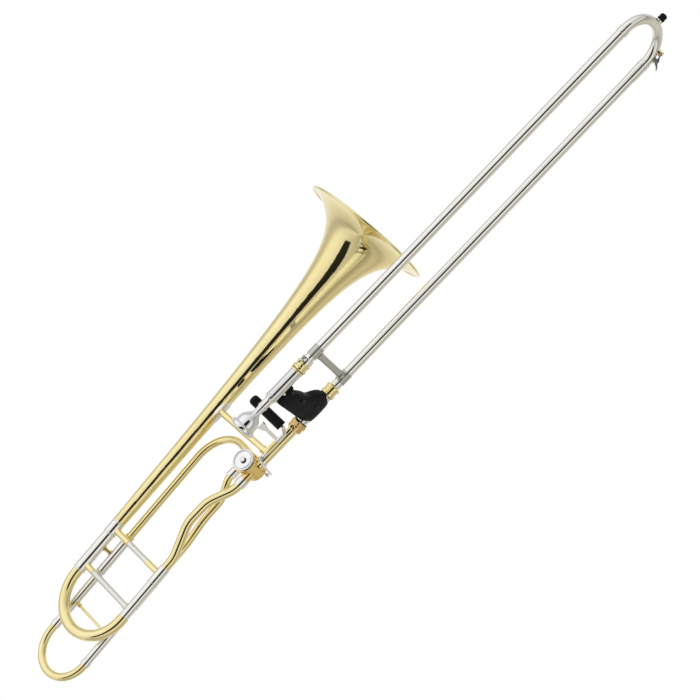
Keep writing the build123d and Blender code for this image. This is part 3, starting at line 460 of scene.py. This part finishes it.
def wire(name, points, radius, finish, body):
    """Round wire along a line of points, with tapered ends."""
    vertices = []
    last = len(points) - 1
    side = (points[1] - points[0]).orthogonal().normalized()
    for place, point in enumerate(points):
        along = (points[min(place + 1, last)] - points[max(place - 1, 0)]).normalized()
        side = (side - along * side.dot(along)).normalized()
        other = along.cross(side)
        wide = radius * (WIRE_TIP if place in (0, last) else 1.0)
        for step in range(WIRE_SIDES):
            angle = 2 * pi * step / WIRE_SIDES
            vertices.append(point + wide * (cos(angle) * side + sin(angle) * other))
    return new_piece(name, vertices, skin_faces(len(points), WIRE_SIDES), finish, body)


def curved(points, steps):
    """Points along a smooth curve through the given ones."""
    line = []
    last = len(points) - 1
    for place in range(last):
        before = points[max(place - 1, 0)]
        start, stop = points[place], points[place + 1]
        after = points[min(place + 2, last)]
        for step in range(steps):
            t = step / steps
            line.append(0.5 * (
                2 * start + (stop - before) * t
                + (2 * before - 5 * start + 4 * stop - after) * t ** 2
                + (3 * start - before - 3 * stop + after) * t ** 3
            ))
    line.append(points[-1])
    return line


def coil(name, start, stop, radius, thick, turns, finish, body, slot):
    """A helical spring whose wire stays between two points of its axis."""
    along = (stop - start).normalized()
    side = along.orthogonal().normalized()
    other = along.cross(side)
    length = (stop - start).length - 2 * thick
    steps = int(turns * COIL_STEPS)
    points = []
    for step in range(steps + 1):
        angle = 2 * pi * turns * step / steps
        centre = start + along * (thick + length * step / steps)
        points.append(centre + radius * (cos(angle) * side + sin(angle) * other))
    return wire(name, points, thick, finish, body)


def turned(name, centre, along, outline, finish, body):
    """A closed outline of (distance along, radius) points in millimetres turned about an axis."""
    side = along.orthogonal().normalized()
    other = along.cross(side)
    vertices = []
    for step in range(TURNED_SIDES):
        angle = 2 * pi * step / TURNED_SIDES
        outward = cos(angle) * side + sin(angle) * other
        vertices += [centre + along * (at * MM) + outward * (radius * MM)
                     for at, radius in outline]
    faces = skin_faces(TURNED_SIDES, len(outline), closed=True)
    return new_piece(name, vertices, faces, finish, body)


FORWARD = Vector((1.0, 0.0, 0.0))
# The bell section's own directions: out of its plane toward the lens, and up in it
VALVE_NEAR = Vector((0.0, -cos(BELL_LEAN), sin(BELL_LEAN)))
BELL_UP = Vector((0.0, sin(BELL_LEAN), cos(BELL_LEAN)))

# ---- Left-hand grip: a soft moulding round the lower barrel, with a ledge for the finger ----
# (rise, rear edge, front edge, half thickness) in the slide's plane, millimetres
GRIP_STATIONS = (
    (-51.6, -9.0, 10.0, 1.8),
    (-50.9, -16.5, 17.5, 5.2),
    (-47.8, -20.4, 22.4, 8.8),
    (-42.0, -22.9, 25.2, 10.9),
    (-35.0, -24.0, 26.4, 11.3),
    (-28.0, -24.6, 25.6, 11.1),
    (-21.0, -25.2, 21.6, 10.9),
    (-15.0, -25.6, 14.0, 10.8),
    (-10.5, -25.8, 8.6, 10.6),
    (-4.0, -26.2, 7.4, 10.6),
    (3.0, -26.6, 5.6, 10.6),
    (10.0, -27.0, 2.0, 10.4),
    (17.0, -27.5, -2.2, 9.8),
    (21.0, -27.8, -3.2, 9.0),
    (24.5, -27.8, 3.2, 7.8),
    (26.8, -26.6, 4.4, 6.2),
    (27.4, -22.0, 0.0, 4.0),
)
GRIP_AROUND = 24
GRIP_SQUARENESS = 0.60     # 1 is an ellipse and 0 a rectangle
GRIP_SUBDIVISIONS = 2


def grip_ring(rise, rear, front, half):
    """One rounded-rectangle section of the grip."""
    points = []
    for step in range(GRIP_AROUND):
        angle = 2 * pi * step / GRIP_AROUND
        lengthwise = copysign(abs(cos(angle)) ** GRIP_SQUARENESS, cos(angle))
        across = copysign(abs(sin(angle)) ** GRIP_SQUARENESS, sin(angle))
        points.append(slide_point(
            (rear + front) / 2 + lengthwise * (front - rear) / 2, rise, across * half))
    return points


grip_points = [point for station in GRIP_STATIONS for point in grip_ring(*station)]
grip = new_piece("left_grip", grip_points, skin_faces(len(GRIP_STATIONS), GRIP_AROUND),
                 black_moulding, "root")
subdivide(grip, GRIP_SUBDIVISIONS)
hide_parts("hand_grip")

# ---- Springs -------------------------------------------------------------------------------
HINGE_PLACE = (-4.1, 12.1)  # (rise, near) of the lever's hinge in the bell section's plane
# (radius of the coil, radius of the wire, both in metres, and number of turns)
KEY_COIL = (1.62 * MM, 0.38 * MM, 3.5)
LEVER_COIL = (2.5 * MM, 0.42 * MM, 4.0)

key_low, key_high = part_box("water_key_spring")
key_axis_x = (key_low[0] + key_high[0]) / 2
key_axis_z = (key_low[2] + key_high[2]) / 2
key_coil = coil("key_coil", Vector((key_axis_x, key_low[1], key_axis_z)),
                Vector((key_axis_x, key_high[1], key_axis_z)), *KEY_COIL, steel, "hand_slide",
                "steel")
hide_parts("water_key_spring")

coil_low, coil_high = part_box("lever_spring")
lever_coil = coil("lever_coil", bell_point(coil_low[0] / MM, *HINGE_PLACE),
                  bell_point(coil_high[0] / MM, *HINGE_PLACE), *LEVER_COIL, steel, "root",
                  "steel")
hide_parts("lever_spring")

# ---- Black rings of painted shade, in the gaps where the slide and the nut meet the barrels ---
# (name, rise of the tube, rear face, thickness, inner and outer radius) in millimetres
SHADE_RINGS = (
    ("slide_shade_ring_upper", SLIDE_HALF, 25.05, 0.8, 7.0, 9.7),
    ("slide_shade_ring_lower", -SLIDE_HALF, 25.05, 0.8, 7.0, 9.7),
    ("nut_shade_ring", -SLIDE_HALF, -26.95, 1.3, 8.85, 11.0),
)
SHADE_RING_EDGE = (0.25, 0.3)  # (along, outward) size of its rounded edge, millimetres

edge_along, edge_out = SHADE_RING_EDGE
# Each black ring is painted shade: a dark band that fills a gap between parts, where there is only
# shadow.
for shade_ring_name, rise, rear, thick, inner, outer in SHADE_RINGS:
    turned(shade_ring_name, slide_point(rear, rise, 0.0), FORWARD,
           [(0.0, inner), (0.0, outer - edge_out), (edge_along, outer),
            (thick - edge_along, outer), (thick, outer - edge_out), (thick, inner)],
           black_rubber, "root")

# ---- Wire hook that latches the hand slide, painted black for its shade and reflection -------
HOOK_RIDE = 10.5           # the hook lies on the ring at this radius, millimetres
HOOK_WIRE = 0.55           # radius of the wire, millimetres
HOOK_STEPS = 6             # points between two of its line
# (forward, height above the upper tube's axis) in millimetres
HOOK_LINE = ((33.4, 6.2), (36.0, 6.9), (37.8, 5.4), (37.3, 3.2), (39.2, 2.8), (40.6, 5.1),
             (42.9, 7.0), (44.8, 6.1), (44.3, 4.4), (42.0, 4.3))
upper_tube = slide_point(0.0, SLIDE_HALF, 0.0)
hook_points = [
    upper_tube + MM * Vector((x, -sqrt(HOOK_RIDE ** 2 - z ** 2), z)) for x, z in HOOK_LINE
]
# The hook's black steel is painted shade and painted reflection: the metal looks dark only because
# of how light falls on it.
wire("lock_hook", curved(hook_points, HOOK_STEPS), HOOK_WIRE * MM, black_steel,
     "slide_lock_ring")

# ---- Relief of the valve cap -----------------------------------------------------------------
CAP_FACE = 20.0            # the cap's outer face, from the valve's middle, millimetres
RELIEF_ROOT = CAP_FACE - 1.3
# (height, radius) in millimetres
RELIEF_OUTLINE = ((0.0, 3.5), (1.3, 3.6), (1.75, 4.4), (1.95, 6.4), (1.85, 9.5), (1.5, 12.4),
                  (1.1, 13.8), (0.0, 14.0))
valve_middle = bell_point(-120.0, 12.5, 0.0)
turned("cap_relief", valve_middle + VALVE_NEAR * RELIEF_ROOT * MM, VALVE_NEAR, RELIEF_OUTLINE,
       silver, "root")

# A black crescent of painted shade, standing for the shade in the screw's slot, is let into the
# cap below its screw; sizes in millimetres and degrees.
CAP_SHADE_IN = 3.3             # inner radius
CAP_SHADE_OUT = 7.4            # outer radius at its middle
CAP_SHADE_TIP = 1.2            # width at its tips
CAP_SHADE_START = 200.0
CAP_SHADE_SWEEP = 140.0
CAP_SHADE_LOW = CAP_FACE - 1.3
CAP_SHADE_HIGH = CAP_FACE + 0.9
CAP_SHADE_STEPS = 24
cap_shade_points = []
for step in range(CAP_SHADE_STEPS + 1):
    angle = radians(CAP_SHADE_START + CAP_SHADE_SWEEP * step / CAP_SHADE_STEPS)
    swell = sin(pi * step / CAP_SHADE_STEPS)
    outer = CAP_SHADE_IN + CAP_SHADE_TIP + (CAP_SHADE_OUT - CAP_SHADE_IN - CAP_SHADE_TIP) * swell
    for radius, height in ((CAP_SHADE_IN, CAP_SHADE_LOW), (outer, CAP_SHADE_LOW), (outer, CAP_SHADE_HIGH),
                           (CAP_SHADE_IN, CAP_SHADE_HIGH)):
        cap_shade_points.append(valve_middle + VALVE_NEAR * height * MM
                            + radius * MM * (cos(angle) * FORWARD + sin(angle) * BELL_UP))
# The black crescent is painted shade, not a mark that the cap really has.
new_piece("cap_slot_shade", cap_shade_points, skin_faces(CAP_SHADE_STEPS + 1, 4), black_steel, "root",
          smooth=False)

# ---- Brass collar on the upper barrel's front end --------------------------------------------
COLLAR_REAR = 21.4         # millimetres
# (distance along, radius) in millimetres
COLLAR_OUTLINE = ((0.0, 8.7), (0.3, 9.9), (1.2, 10.3), (2.4, 10.1), (3.4, 9.7), (3.6, 8.7))
turned("barrel_collar", slide_point(COLLAR_REAR, SLIDE_HALF, 0.0), FORWARD, COLLAR_OUTLINE,
       lacquered_brass, "root")


# ---- Floor ---------------------------------------------------------------------------------
FLOOR_DROP = 0.45          # below the trombone, metres
FLOOR_HALF = 20.0          # half its side, metres
FLOOR_TONE = (0.96, 0.96, 0.96, 1.0)
FLOOR_GLOW = 0.40          # keeps the floor as white as the background

floor_level = cad_low.z - FLOOR_DROP
floor_mesh = bpy.data.meshes.new("floor")
floor_mesh.from_pydata(
    [(x * FLOOR_HALF, y * FLOOR_HALF, floor_level)
     for x, y in ((-1, -1), (1, -1), (1, 1), (-1, 1))],
    [],
    [(0, 1, 2, 3)],
)
floor = bpy.data.objects.new("floor", floor_mesh)
scene.collection.objects.link(floor)
floor_material, _, floor_shader = new_material("floor")
floor_shader.inputs["Base Color"].default_value = FLOOR_TONE
floor_shader.inputs["Roughness"].default_value = 1.0
floor_shader.inputs["Specular IOR Level"].default_value = 0.0
floor_shader.inputs["Emission Color"].default_value = (1.0, 1.0, 1.0, 1.0)
floor_shader.inputs["Emission Strength"].default_value = FLOOR_GLOW
floor_mesh.materials.append(floor_material)
floor.visible_glossy = False  # the metal mirrors the studio, not the floor
